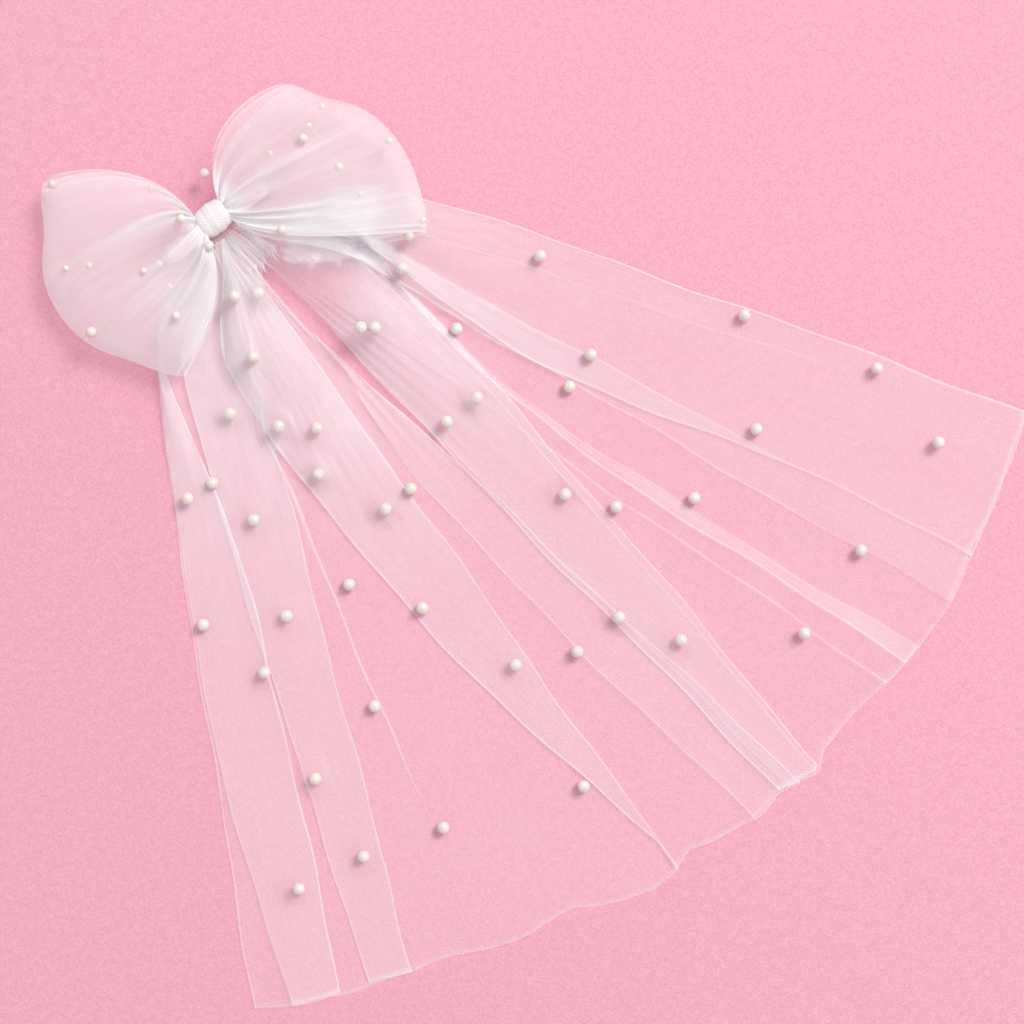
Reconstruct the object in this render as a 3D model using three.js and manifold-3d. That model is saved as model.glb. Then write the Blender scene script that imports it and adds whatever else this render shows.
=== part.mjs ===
// A bridal hair bow: two tulle loops pinched at a wrapped knot, two long gathered tulle tails
// scattered with pearls, and a French barrette under the knot that clips it to the hair.
// Millimetres. +Z is up, out of the bow's front; the bow lies on its back on the plane z = 0.
// +X runs along the barrette to the bow's right loop, and the tails fan out towards -Y.
// The origin is the middle of the clamp arm's flat underside, which rests against the head.

import * as THREE from 'three';
import { mergeVertices } from 'three/addons/utils/BufferGeometryUtils.js';
import Module from 'manifold-3d';

const wasm = await Module();
wasm.setup();

const GAP = 0.3;
const DEGREE = Math.PI / 180;
const THROUGH = 40; // a cutter's length, longer than anything that it cuts
const SAME_PLACE = 1e-4;

// Cloth.
const CLOTH = 1.2;
const LOOP_CLOTH = 1.0;
const KNOT = { x: 9, halfWidth: 7, z: 19.6, outerFoldZ: 13 };
const LOOP_FRONT = 34;
const LOOP_BACK = 12;
const PINCH = 0.12;
// The outer fold is an arc that dips, by these shares of its radius, below and above its middle. Each
// edge bends towards its flare point on its way out.
const LEFT_LOOP = {
  side: -1,
  centre: [-24.5, 7.5],
  radius: 91,
  dip: [0.045, 0.075],
  axis: 180,
  spread: 57,
  flare: [[-19, -54], [-8, 55]],
};
const RIGHT_LOOP = {
  side: 1,
  centre: [34, -29],
  radius: 90,
  dip: [0, 0.06],
  axis: 7,
  spread: 46,
  flare: [[17, -38], [24, 54]],
};

// An edge of a tail runs at `turn` degrees from -Y and passes `offset` from the knot's middle.
const LEFT_TAIL = { left: { turn: -26, offset: -62 }, right: { turn: 7, offset: 2 }, hem: [505, 514] };
const RIGHT_TAIL = { left: { turn: 5.5, offset: 12 }, right: { turn: 33.5, offset: 67 }, hem: [514, 531] };
const HEADER = { left: { turn: -30, offset: -30 }, right: { turn: 46, offset: 18 }, hem: [42, 46] };
const TAIL_START = 14;
const TAIL_LANDS = 62;
const TAIL_TOP_Z = 12;
const OFFSET_REACH = 100;
const OVERLAP_LIFT = 1.6;
const OVERLAP_FADE = 6;
const HEADER_LIFT = 1.9;

// The knot.
const WRAP = { length: 17, y: 11.5, z: 8, wall: 1.7, middle: 20.8 };
const BINDING = { length: 4, wall: 0.7 };
const CORE = { length: 16.8, y: 8.2, z: 4.9 };
const FELT = { length: 76, width: 12, thick: 0.5, clearance: 0.1 };

// The barrette.
const BAR = { length: 82, width: 9, thick: 0.8, middle: 10, rise: 2.2 };
const PIN = { x: -38, z: 2, radius: 0.8, length: 9.8, clearance: 0.12 };
const LUG = { radius: 1.8, inner: 3.75, outer: 4.5, top: 8.2 };
const ARM = {
  width: 6.6, thick: 0.9, end: 41, barrel: 1.5,
  // The underside rises by `raised` over `ramp` from X = step, and the top side over topRamp.
  step: 30, ramp: 3, raised: 1.7, topRamp: [-0.5, 2.5],
};
const SLOT = { from: 35, to: 38.4, halfWidth: 2.2 };
const CATCH = { from: 30, to: 40, width: 6, bottom: 7, thick: 0.6 };
const RIVET = { x: 33, radius: 0.9, head: 1.6, foot: 6.1, lowerHead: 6.7, upperHead: 9.72, top: 10.2 };
const LEAF = { halfLength: 29, width: 5, thick: 0.4, low: 5.9, high: 8.4 };
const PRONG = {
  from: 35.6, to: 37.8, inner: 1.2, outer: 1.7, hook: 2.75, hookBottom: 0.6, hookTop: 1.3,
  bridgeBottom: 6.1, top: 6.6, tabInner: 4.9, tabOuter: 5.4, tabBottom: 2.8, tabFrom: 34, tabTo: 39.4,
};

// Pearls lie on the tails at [distance from the knot's middle, degrees from -Y towards +X].
const PEARL = 4;
const LEFT_TAIL_PEARLS = [
  [178, -42], [258, -38], [167, -37], [123, -32], [290, -30], [430, -29], [192, -29], [362, -26],
  [256, -26], [417, -23], [91, -20], [137, -19], [326, -18], [247, -16], [414, -15.5], [174, -14],
  [280, -8], [213, -5.5], [51, -21], [431, -3], [342, -2], [211, 0], [147, -10],
];
const RIGHT_TAIL_PEARLS = [
  [361, 9.5], [400, 12], [283, 16], [314, 18.5], [459, 19], [201, 20], [353, 24], [463, 27],
  [249, 29], [168, 30], [370, 33], [254, 34.5], [483, 37], [433, 41.5], [343, 44], [208, 48],
  [116, 17.5], [359, 4], [195, 13],
];

const material = (color, roughness, metalness = 0) =>
  new THREE.MeshStandardMaterial({ color, roughness, metalness });
const TULLE = material(0xf6ecf0, 0.85);
const WRAP_TULLE = material(0xfbf4f6, 0.8);
const THREAD = material(0xf4eeea, 0.7);
const WHITE_FELT = material(0xefe9e6, 0.95);
const NACRE = material(0xf5ece0, 0.25);
const STEEL = material(0xb9bcc0, 0.3, 1);
const SPRING_STEEL = material(0x9a9da3, 0.28, 1);

const smooth = (low, high, value) => THREE.MathUtils.smoothstep(value, low, high);

// ---- solids from surfaces and outlines ----

// A closed slab around surface(u, v), u and v from 0 to 1, with `thick` across its normal.
function slab(surface, uSteps, vSteps, thick) {
  const positions = [];
  const step = 1e-3;
  const across = new THREE.Vector3();
  for (const side of [0.5, -0.5]) {
    for (let i = 0; i <= uSteps; i += 1) {
      for (let j = 0; j <= vSteps; j += 1) {
        const u = i / uSteps;
        const v = j / vSteps;
        const alongU = surface(Math.min(u + step, 1), v).sub(surface(Math.max(u - step, 0), v));
        const alongV = surface(u, Math.min(v + step, 1)).sub(surface(u, Math.max(v - step, 0)));
        across.crossVectors(alongU, alongV).normalize();
        positions.push(...surface(u, v).addScaledVector(across, side * thick));
      }
    }
  }
  const row = vSteps + 1;
  const under = (uSteps + 1) * row;
  const faces = [];
  const quad = (a, b, c, d) => faces.push(a, b, c, a, c, d);
  for (let i = 0; i < uSteps; i += 1) {
    for (let j = 0; j < vSteps; j += 1) {
      const a = i * row + j;
      quad(a, a + row, a + row + 1, a + 1);
      quad(under + a, under + a + 1, under + a + row + 1, under + a + row);
    }
  }
  const wall = (a, b) => quad(a, b, under + b, under + a);
  for (let i = 0; i < uSteps; i += 1) {
    wall((i + 1) * row, i * row);
    wall(i * row + vSteps, (i + 1) * row + vSteps);
  }
  for (let j = 0; j < vSteps; j += 1) {
    wall(j, j + 1);
    wall(uSteps * row + j + 1, uSteps * row + j);
  }
  const geometry = new THREE.BufferGeometry();
  geometry.setAttribute('position', new THREE.Float32BufferAttribute(positions, 3));
  geometry.setIndex(faces);
  return geometry;
}

// An outline drawn in X and Z, given its width along Y between two planes.
function alongY(shape, from, to, curveSegments = 12) {
  const geometry = new THREE.ExtrudeGeometry(shape, { depth: to - from, bevelEnabled: false, curveSegments });
  return geometry.rotateX(Math.PI / 2).translate(0, to, 0);
}

function polygon(points) {
  return new THREE.Shape(points.map(([x, y]) => new THREE.Vector2(x, y)));
}

function box(x, y, z) {
  const size = [x[1] - x[0], y[1] - y[0], z[1] - z[0]];
  const middle = [(x[0] + x[1]) / 2, (y[0] + y[1]) / 2, (z[0] + z[1]) / 2];
  return new THREE.BoxGeometry(...size).translate(...middle);
}

function rod(radius, length, x, z, segments = 24) {
  return new THREE.CylinderGeometry(radius, radius, length, segments).translate(x, 0, z);
}

function ellipseTube(length, y, z, wall, middle, segments) {
  const shape = new THREE.Shape();
  shape.absellipse(0, 0, z, y, 0, 2 * Math.PI);
  if (wall > 0) {
    const hole = new THREE.Path();
    hole.absellipse(0, 0, z - wall, y - wall, 0, 2 * Math.PI);
    shape.holes.push(hole);
  }
  const settings = { depth: length, bevelEnabled: false, curveSegments: segments };
  return new THREE.ExtrudeGeometry(shape, settings)
    .rotateY(Math.PI / 2)
    .translate(-length / 2, 0, middle);
}

function solid(geometry) {
  const bare = geometry.clone();
  for (const name of ['normal', 'uv']) bare.deleteAttribute(name);
  const merged = mergeVertices(bare, SAME_PLACE);
  const mesh = new wasm.Mesh({
    numProp: 3,
    vertProperties: new Float32Array(merged.attributes.position.array),
    triVerts: new Uint32Array(merged.index.array),
  });
  return new wasm.Manifold(mesh);
}

function geometryOf(manifold) {
  const { vertProperties, triVerts } = manifold.getMesh();
  const geometry = new THREE.BufferGeometry();
  geometry.setAttribute('position', new THREE.BufferAttribute(vertProperties, 3));
  geometry.setIndex(new THREE.BufferAttribute(triVerts, 1));
  geometry.computeVertexNormals();
  return geometry;
}

const bow = new THREE.Group();

function piece(name, geometry, look) {
  const mesh = new THREE.Mesh(geometry, look);
  mesh.name = name;
  bow.add(mesh);
}

// ---- the bow's loops ----

// A loop is one strip: v = 0 is its back at the knot, 0.5 the outer fold, 1 its front at the knot.
function loopSurface(loop) {
  return (u, v) => {
    const across = loop.side * (1 - 2 * u);
    const turn = 1 - 2 * v;
    const along = 1 - turn * turn;
    const angle = (loop.axis + loop.side * across * loop.spread) * DEGREE;
    const share = (across + 1) / 2;
    const dip = loop.dip[0] * (1 - share) + loop.dip[1] * share;
    const reach = loop.radius * (1 - dip * Math.sin(Math.PI * Math.abs(across) ** 1.5) ** 2);
    const edge = [loop.centre[0] + reach * Math.cos(angle), loop.centre[1] + reach * Math.sin(angle)];
    const start = [loop.side * KNOT.x, across * KNOT.halfWidth];
    const [lower, upper] = loop.flare;
    const flare = [
      lower[0] * (1 - share) + upper[0] * share,
      ((upper[1] + lower[1]) * across ** 2 + (upper[1] - lower[1]) * across) / 2,
    ];
    const weight = [(1 - along) ** 2, 2 * along * (1 - along), along ** 2];
    const place = [0, 1].map((k) => weight[0] * start[k] + weight[1] * flare[k] + weight[2] * edge[k]);
    const puff = (PINCH + (1 - PINCH) * along) * Math.sqrt(Math.max(1 - along ** 3, 0));
    const height = turn < 0 ? LOOP_FRONT * puff : -LOOP_BACK * puff;
    const middle = KNOT.z + (KNOT.outerFoldZ - KNOT.z) * along;
    return new THREE.Vector3(place[0], place[1], middle + height);
  };
}

piece('left_loop', slab(loopSurface(LEFT_LOOP), 10, 18, LOOP_CLOTH), TULLE);
piece('right_loop', slab(loopSurface(RIGHT_LOOP), 10, 18, LOOP_CLOTH), TULLE);

// ---- the tails and their gathered header ----

const edgeTurn = (edge, r) =>
  edge.turn * DEGREE + Math.atan((edge.offset * smooth(0, OFFSET_REACH, r)) / r);

const restHeight = (r) => CLOTH / 2 + (TAIL_TOP_Z - CLOTH / 2) * (1 - smooth(TAIL_START, TAIL_LANDS, r));

// The right tail's inner margin lies on the left tail's.
function heightOf(tail, turn, r) {
  if (tail === LEFT_TAIL) return restHeight(r);
  if (tail === HEADER) return restHeight(r) + HEADER_LIFT;
  const clear = (turn - edgeTurn(LEFT_TAIL.right, r)) / DEGREE;
  const lift = OVERLAP_LIFT * smooth(TAIL_LANDS, 2 * TAIL_LANDS, r);
  return restHeight(r) + lift * (1 - smooth(1, OVERLAP_FADE, clear));
}

function tailSurface(tail) {
  return (u, v) => {
    const hem = THREE.MathUtils.lerp(...tail.hem, u);
    const r = TAIL_START + (hem - TAIL_START) * v ** 2;
    const turn = THREE.MathUtils.lerp(edgeTurn(tail.left, r), edgeTurn(tail.right, r), u);
    return new THREE.Vector3(r * Math.sin(turn), -r * Math.cos(turn), heightOf(tail, turn, r));
  };
}

const upsideUp = (surface) => (u, v) => surface(1 - u, v);

piece('left_tail', slab(upsideUp(tailSurface(LEFT_TAIL)), 12, 14, CLOTH), TULLE);
piece('right_tail', slab(upsideUp(tailSurface(RIGHT_TAIL)), 14, 14, CLOTH), TULLE);
piece('tail_header', slab(upsideUp(tailSurface(HEADER)), 10, 5, CLOTH), TULLE);

// ---- the knot ----

piece('knot_wrap', ellipseTube(WRAP.length, WRAP.y, WRAP.z, WRAP.wall, WRAP.middle, 14), WRAP_TULLE);
piece('gathered_core', ellipseTube(CORE.length, CORE.y, CORE.z, 0, WRAP.middle, 12), TULLE);
const bindingY = CORE.y + GAP + BINDING.wall;
const bindingZ = CORE.z + GAP + BINDING.wall;
const binding = ellipseTube(BINDING.length, bindingY, bindingZ, BINDING.wall, WRAP.middle, 12);
piece('binding_thread', binding, THREAD);
// ---- the barrette ----

// The arc that a strip of this half length follows when its ends are `rise` above or below its middle.
const arcRadius = (halfLength, rise) => (halfLength ** 2 + rise ** 2) / (2 * rise);

function arched(halfLength, middle, rise, thick, width) {
  const radius = arcRadius(halfLength, rise);
  const half = Math.asin(halfLength / radius);
  const shape = new THREE.Shape();
  shape.absarc(0, middle - radius, radius, Math.PI / 2 + half, Math.PI / 2 - half, true);
  shape.absarc(0, middle - radius, radius + thick, Math.PI / 2 - half, Math.PI / 2 + half, false);
  return alongY(shape, -width / 2, width / 2);
}

function lug(from, to) {
  const shape = new THREE.Shape();
  shape.moveTo(PIN.x - LUG.radius, LUG.top);
  shape.lineTo(PIN.x - LUG.radius, PIN.z);
  shape.absarc(PIN.x, PIN.z, LUG.radius, Math.PI, 2 * Math.PI, false);
  shape.lineTo(PIN.x + LUG.radius, LUG.top);
  return alongY(shape, from, to);
}

const pinHole = solid(rod(PIN.radius + PIN.clearance, THROUGH, PIN.x, PIN.z));
const rivetHole = solid(
  new THREE.CylinderGeometry(RIVET.radius + GAP / 2, RIVET.radius + GAP / 2, THROUGH, 16)
    .rotateX(Math.PI / 2)
    .translate(RIVET.x, 0, 0),
);

const bar = solid(arched(BAR.length / 2, BAR.middle, BAR.rise, BAR.thick, BAR.width))
  .add(solid(lug(LUG.inner, LUG.outer)))
  .add(solid(lug(-LUG.outer, -LUG.inner)))
  .subtract(pinHole)
  .subtract(rivetHole);
piece('base_bar', geometryOf(bar), STEEL);

// A felt strip lies along the bar's top, with a hole for the rivet's head.
function feltStrip() {
  const radius = arcRadius(BAR.length / 2, BAR.rise) + BAR.thick + FELT.clearance;
  const rise = radius - Math.sqrt(radius ** 2 - (FELT.length / 2) ** 2);
  const headHole = new THREE.CylinderGeometry(RIVET.head + GAP, RIVET.head + GAP, THROUGH, 16)
    .rotateX(Math.PI / 2)
    .translate(RIVET.x, 0, 0);
  return solid(arched(FELT.length / 2, BAR.middle + BAR.thick + FELT.clearance, rise, FELT.thick, FELT.width))
    .subtract(solid(headHole));
}
piece('felt_pad', geometryOf(feltStrip()), WHITE_FELT);

function leafSpring() {
  const radius = arcRadius(LEAF.halfLength, LEAF.high - LEAF.low);
  const half = Math.asin(LEAF.halfLength / radius);
  const shape = new THREE.Shape();
  const below = -Math.PI / 2;
  shape.absarc(0, LEAF.low + radius, radius, below - half, below + half, false);
  shape.absarc(0, LEAF.low + radius, radius - LEAF.thick, below + half, below - half, true);
  return alongY(shape, -LEAF.width / 2, LEAF.width / 2);
}
piece('leaf_spring', leafSpring(), SPRING_STEEL);
piece('hinge_pin', rod(PIN.radius, PIN.length, PIN.x, PIN.z), STEEL);

function clampArm() {
  const { step, ramp, raised, topRamp, thick, end } = ARM;
  const side = polygon([
    [PIN.x, 0], [step, 0], [step + ramp, raised], [end, raised], [end, raised + thick],
    [step + topRamp[1], raised + thick], [step + topRamp[0], thick], [PIN.x, thick],
  ]);
  const plan = new THREE.Shape();
  const half = ARM.width / 2;
  plan.moveTo(PIN.x, -half);
  plan.lineTo(end - half, -half);
  plan.absarc(end - half, 0, half, -Math.PI / 2, Math.PI / 2, false);
  plan.lineTo(PIN.x, half);
  const planSolid = new THREE.ExtrudeGeometry(plan, { depth: THROUGH, bevelEnabled: false })
    .translate(0, 0, -THROUGH / 2);
  const { from, to, halfWidth } = SLOT;
  const slot = box([from, to], [-halfWidth, halfWidth], [-THROUGH / 2, THROUGH / 2]);
  return solid(alongY(side, -half, half))
    .intersect(solid(planSolid))
    .add(solid(rod(ARM.barrel, ARM.width, PIN.x, PIN.z)))
    .subtract(pinHole)
    .subtract(solid(slot));
}
piece('clamp_arm', geometryOf(clampArm()), STEEL);

const catchPlate = box(
  [CATCH.from, CATCH.to],
  [-CATCH.width / 2, CATCH.width / 2],
  [CATCH.bottom, CATCH.bottom + CATCH.thick],
);
piece('catch_plate', geometryOf(solid(catchPlate).subtract(rivetHole)), STEEL);

function rivet() {
  const { radius, head, foot, lowerHead, upperHead, top } = RIVET;
  const profile = [
    [0, foot], [head, foot], [head, lowerHead], [radius, lowerHead],
    [radius, upperHead], [head, upperHead], [head, top], [0, top],
  ].map(([r, z]) => new THREE.Vector2(r, z));
  return new THREE.LatheGeometry(profile, 16).rotateX(Math.PI / 2).translate(RIVET.x, 0, 0);
}
piece('catch_rivet', rivet(), STEEL);

// A prong's leg hangs through the arm's slot and hooks under its edge; fingers squeeze its outer tab.
function prong(side) {
  const p = PRONG;
  const across = (from, to) => (side > 0 ? [from, to] : [-to, -from]);
  return solid(box([p.from, p.to], across(p.inner, p.outer), [p.hookBottom, p.top]))
    .add(solid(box([p.from, p.to], across(p.inner, p.hook), [p.hookBottom, p.hookTop])))
    .add(solid(box([p.from, p.to], across(p.inner, p.tabOuter), [p.bridgeBottom, p.top])))
    .add(solid(box([p.tabFrom, p.tabTo], across(p.tabInner, p.tabOuter), [p.tabBottom, p.top])));
}
piece('prong_front', geometryOf(prong(-1)), SPRING_STEEL);
piece('prong_rear', geometryOf(prong(1)), SPRING_STEEL);

// ---- pearls ----

function pearlOn(tail, [r, degrees]) {
  const turn = degrees * DEGREE;
  const z = heightOf(tail, turn, r) + CLOTH / 2 + GAP + PEARL;
  return new THREE.IcosahedronGeometry(PEARL, 1).translate(r * Math.sin(turn), -r * Math.cos(turn), z);
}

const number = (index) => String(index + 1).padStart(2, '0');
LEFT_TAIL_PEARLS.forEach((place, index) =>
  piece(`left_tail_pearl_${number(index)}`, pearlOn(LEFT_TAIL, place), NACRE));
RIGHT_TAIL_PEARLS.forEach((place, index) =>
  piece(`right_tail_pearl_${number(index)}`, pearlOn(RIGHT_TAIL, place), NACRE));

export default bow;
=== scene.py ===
"""A bridal hair bow of white tulle, laid out on a pale cloth.

Two double loops are pinched at a wrapped knot. Two long gathered tails fan out from it, folded into
pleats and scattered with pearls, and a French barrette sits under the knot.

Shapes are worked out in millimetres and turned into Blender's metres when a mesh is made. The frame
is the part's own: +Z up out of the bow's front, +X along the barrette, and the tails towards -Y.
"""

import math

import bpy
import numpy as np
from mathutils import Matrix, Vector
from mathutils.bvhtree import BVHTree


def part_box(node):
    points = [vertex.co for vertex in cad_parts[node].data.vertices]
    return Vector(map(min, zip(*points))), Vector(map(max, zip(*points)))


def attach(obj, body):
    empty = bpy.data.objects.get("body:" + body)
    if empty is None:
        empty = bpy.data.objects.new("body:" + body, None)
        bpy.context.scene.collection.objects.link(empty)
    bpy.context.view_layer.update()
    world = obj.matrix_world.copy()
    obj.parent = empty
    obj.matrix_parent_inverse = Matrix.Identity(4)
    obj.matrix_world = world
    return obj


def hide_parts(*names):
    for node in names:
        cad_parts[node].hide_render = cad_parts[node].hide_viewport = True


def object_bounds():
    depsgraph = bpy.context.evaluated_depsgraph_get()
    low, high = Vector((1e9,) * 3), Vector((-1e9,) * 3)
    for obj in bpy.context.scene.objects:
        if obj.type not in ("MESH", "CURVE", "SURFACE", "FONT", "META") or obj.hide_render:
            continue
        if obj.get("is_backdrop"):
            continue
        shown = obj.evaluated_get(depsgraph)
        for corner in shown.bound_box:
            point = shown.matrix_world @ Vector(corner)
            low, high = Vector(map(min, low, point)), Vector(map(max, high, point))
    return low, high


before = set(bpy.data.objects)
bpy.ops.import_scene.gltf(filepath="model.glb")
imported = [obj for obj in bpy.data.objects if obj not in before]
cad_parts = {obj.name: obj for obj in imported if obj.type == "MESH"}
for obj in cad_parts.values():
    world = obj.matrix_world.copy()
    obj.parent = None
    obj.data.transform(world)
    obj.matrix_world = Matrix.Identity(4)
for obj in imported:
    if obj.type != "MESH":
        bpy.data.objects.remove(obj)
cad_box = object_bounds()

MM = 0.001
FLOOR_Z = cad_box[0][2] / MM  # the bow lies on its back


# ---- small tools ----


def smooth(low, high, value):
    """0 below low, 1 above high, and an S-shaped step between them."""
    x = np.clip((np.asarray(value, float) - low) / (high - low), 0, 1)
    return x * x * (3 - 2 * x)


def bump(distance, width):
    return np.exp(-((distance / width) ** 2))


def grid_faces(rows, columns, closed=False):
    """The quads of a grid of points numbered row by row. closed joins the last column to the first."""
    faces = []
    for i in range(rows - 1):
        for j in range(columns if closed else columns - 1):
            k = (j + 1) % columns
            faces.append((i * columns + j, i * columns + k, (i + 1) * columns + k, (i + 1) * columns + j))
    return faces


def add_mesh(name, points, faces, material, uv=None, density=None, smooth_faces=True):
    """A new object from points in millimetres. uv is in millimetres of cloth."""
    mesh = bpy.data.meshes.new(name)
    mesh.from_pydata([tuple(p) for p in np.asarray(points) * MM], [], faces)
    mesh.materials.append(material)
    if uv is not None:
        layer = mesh.uv_layers.new(name="cloth")
        corners = np.zeros(len(mesh.loops), int)
        mesh.loops.foreach_get("vertex_index", corners)
        layer.data.foreach_set("uv", (np.asarray(uv)[corners] * MM).ravel())
    if density is not None:
        attribute = mesh.attributes.new("layers", "FLOAT", "POINT")
        attribute.data.foreach_set("value", np.asarray(density, float).ravel())
    if smooth_faces:
        mesh.shade_smooth()
    obj = bpy.data.objects.new(name, mesh)
    bpy.context.scene.collection.objects.link(obj)
    return obj


# ---- materials ----


class Look:
    """A node material with a Principled shader and short ways to add and join nodes."""

    def __init__(self, name, colour, roughness, metallic=0.0, sheen=0.0, coat=0.0, specular=0.5):
        self.material = bpy.data.materials.new(name)
        self.material.use_nodes = True
        self.tree = self.material.node_tree
        self.shader = self.tree.nodes["Principled BSDF"]
        self.set("Base Color", (*colour, 1))
        self.set("Roughness", roughness)
        self.set("Metallic", metallic)
        self.set("Sheen Weight", sheen)
        self.set("Coat Weight", coat)
        self.set("Specular IOR Level", specular)

    def set(self, socket, value):
        self.shader.inputs[socket].default_value = value

    def link(self, output, socket):
        self.tree.links.new(output, self.shader.inputs[socket])

    def node(self, kind, inputs=None, **settings):
        node = self.tree.nodes.new(kind)
        for key, value in settings.items():
            setattr(node, key, value)
        for key, value in (inputs or {}).items():
            if isinstance(value, bpy.types.NodeSocket):
                self.tree.links.new(value, node.inputs[key])
            else:
                node.inputs[key].default_value = value
        return node

    def math(self, operation, *values, clamp=False):
        inputs = dict(enumerate(values))
        return self.node("ShaderNodeMath", inputs, operation=operation, use_clamp=clamp).outputs[0]

    def noise(self, scale, vector=None, detail=2.0):
        inputs = {"Scale": scale, "Detail": detail}
        if vector is not None:
            inputs["Vector"] = vector
        return self.node("ShaderNodeTexNoise", inputs).outputs["Fac"]

    def coordinates(self, output="Object"):
        return self.node("ShaderNodeTexCoord").outputs[output]

    def stretched(self, vector, scale):
        return self.node("ShaderNodeMapping", {"Vector": vector, "Scale": scale}).outputs[0]

    def range(self, value, low, high, to_low, to_high):
        inputs = {0: value, 1: low, 2: high, 3: to_low, 4: to_high}
        return self.node("ShaderNodeMapRange", inputs, clamp=True).outputs[0]

    def tint(self, factor, first, second, socket="Base Color"):
        ramp = self.node("ShaderNodeValToRGB", {0: factor})
        ramp.color_ramp.elements[0].color = (*first, 1)
        ramp.color_ramp.elements[1].color = (*second, 1)
        self.link(ramp.outputs[0], socket)

    def bumps(self, height, strength, distance):
        inputs = {"Height": height, "Strength": strength, "Distance": distance}
        self.link(self.node("ShaderNodeBump", inputs).outputs[0], "Normal")


LATTICE = 0.0014  # the pitch of tulle's diamond net, in metres
DARKEST_SHADE = 0.26  # the most light that one layer stops
WEAVE_THREAD, WEAVE_HOLE = 1.7, 0.25  # what the net's threads and holes make of the cover
STREAKS = (0.84, 1.16)  # how far the cover varies in streaks that run along the cloth
CLOUDS = (0.85, 1.15)  # and in soft patches


def tulle(name, cover, shadow, colour=(0.985, 0.975, 0.98)):
    """Sheer net. cover is how much of the view one layer hides, and shadow the share of that cover
    that it takes from a lamp, up to DARKEST_SHADE, because light scatters on through its threads."""
    look = Look(name, colour, 0.72, sheen=0.15, specular=0.25)
    cloth = look.node("ShaderNodeUVMap", uv_map="cloth").outputs[0]
    across = look.node("ShaderNodeSeparateXYZ", {0: cloth})
    threads = []
    for sign in (1, -1):
        slant = look.math("MULTIPLY_ADD", across.outputs[1], sign, across.outputs[0])
        wave = look.math("PINGPONG", slant, LATTICE / 2)
        threads.append(look.range(wave, 0, LATTICE / 5, 1, 0))
    net = look.math("MAXIMUM", *threads)
    weave = look.math("MULTIPLY_ADD", net, WEAVE_THREAD, WEAVE_HOLE)
    streaks = look.noise(1.0, look.stretched(cloth, (260, 9, 1)), 3)
    cloud = look.noise(22.0, cloth, 3)
    uneven = look.math("MULTIPLY", look.range(streaks, 0.3, 0.7, *STREAKS),
                       look.range(cloud, 0.3, 0.7, *CLOUDS))
    density = look.node("ShaderNodeAttribute", attribute_name="layers").outputs["Fac"]
    alpha = look.math("MULTIPLY", look.math("MULTIPLY", density, cover),
                      look.math("MULTIPLY", weave, uneven), clamp=True)
    lamp = look.node("ShaderNodeLightPath").outputs["Is Shadow Ray"]
    shade = look.math("MINIMUM", look.math("MULTIPLY", alpha, shadow), DARKEST_SHADE)
    look.link(look.math("MULTIPLY_ADD", lamp, look.math("SUBTRACT", shade, alpha), alpha), "Alpha")
    look.bumps(net, 0.15, 0.0001)
    return look.material


def pearl_look():
    look = Look("pearl", (0.93, 0.89, 0.82), 0.22, coat=0.6, specular=0.6)
    look.set("Coat Roughness", 0.08)
    look.set("Subsurface Weight", 0.15)
    look.set("Subsurface Radius", (0.002, 0.0015, 0.001))
    look.set("Subsurface Scale", 0.4)
    mottle = look.noise(260.0, look.coordinates(), 2)
    look.tint(mottle, (0.8, 0.69, 0.61), (0.95, 0.89, 0.85))
    look.bumps(look.noise(900.0, look.coordinates(), 2), 0.05, 0.0001)
    return look.material


def metal_look(name, colour, roughness):
    """Nickel plate with the fine lines of rolled strip along X."""
    look = Look(name, colour, roughness, metallic=1.0)
    lines = look.noise(1.0, look.stretched(look.coordinates(), (120, 9000, 9000)), 3)
    look.tint(lines, tuple(0.86 * c for c in colour), tuple(min(1.12 * c, 1) for c in colour))
    look.link(look.range(lines, 0.3, 0.7, roughness * 0.8, roughness * 1.3), "Roughness")
    look.bumps(lines, 0.12, 0.00005)
    return look.material


def felt_look():
    look = Look("felt", (0.9, 0.61, 0.69), 0.95, sheen=0.2, specular=0.1)
    fibres = look.noise(2600.0, look.coordinates(), 4)
    look.tint(fibres, (0.86, 0.56, 0.64), (0.95, 0.66, 0.74))
    look.bumps(fibres, 0.5, 0.0003)
    return look.material


def thread_look():
    look = Look("thread", (0.94, 0.92, 0.9), 0.6, sheen=0.3)
    twist = look.noise(1.0, look.stretched(look.coordinates(), (5000, 1500, 1500)), 2)
    look.tint(twist, (0.82, 0.79, 0.77), (0.97, 0.95, 0.94))
    look.bumps(twist, 0.4, 0.0001)
    return look.material


FLOOR_DARK = (0.83, 0.385, 0.49)
FLOOR_LIGHT = (0.93, 0.465, 0.585)


def floor_look():
    look = Look("pale_pink_plush", (0.9, 0.45, 0.58), 0.9, sheen=0.1, specular=0.1)
    place = look.coordinates()
    pile = look.noise(620.0, place, 4)
    tufts = look.noise(210.0, place, 2)
    mixed = look.math("MULTIPLY_ADD", tufts, 0.3, look.math("MULTIPLY", pile, 0.7))
    look.tint(look.range(mixed, 0.36, 0.64, 0, 1), FLOOR_DARK, FLOOR_LIGHT)
    look.bumps(pile, 0.6, 0.0006)
    return look.material


TAIL_TULLE = tulle("tail_tulle", 0.15, 0.9, (0.98, 0.97, 1.0))
LOOP_TULLE = tulle("loop_tulle", 0.25, 1.0, (0.96, 0.95, 0.975))
FRILL_TULLE = tulle("frill_tulle", 0.14, 0.3)
WRAP_TULLE = tulle("wrap_tulle", 1.8, 1.0, (0.95, 0.9, 0.91))
PEARL = pearl_look()
STEEL = metal_look("steel", (0.72, 0.73, 0.75), 0.28)
SPRING_STEEL = metal_look("spring_steel", (0.58, 0.59, 0.62), 0.24)
FELT = felt_look()
THREAD = thread_look()


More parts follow.
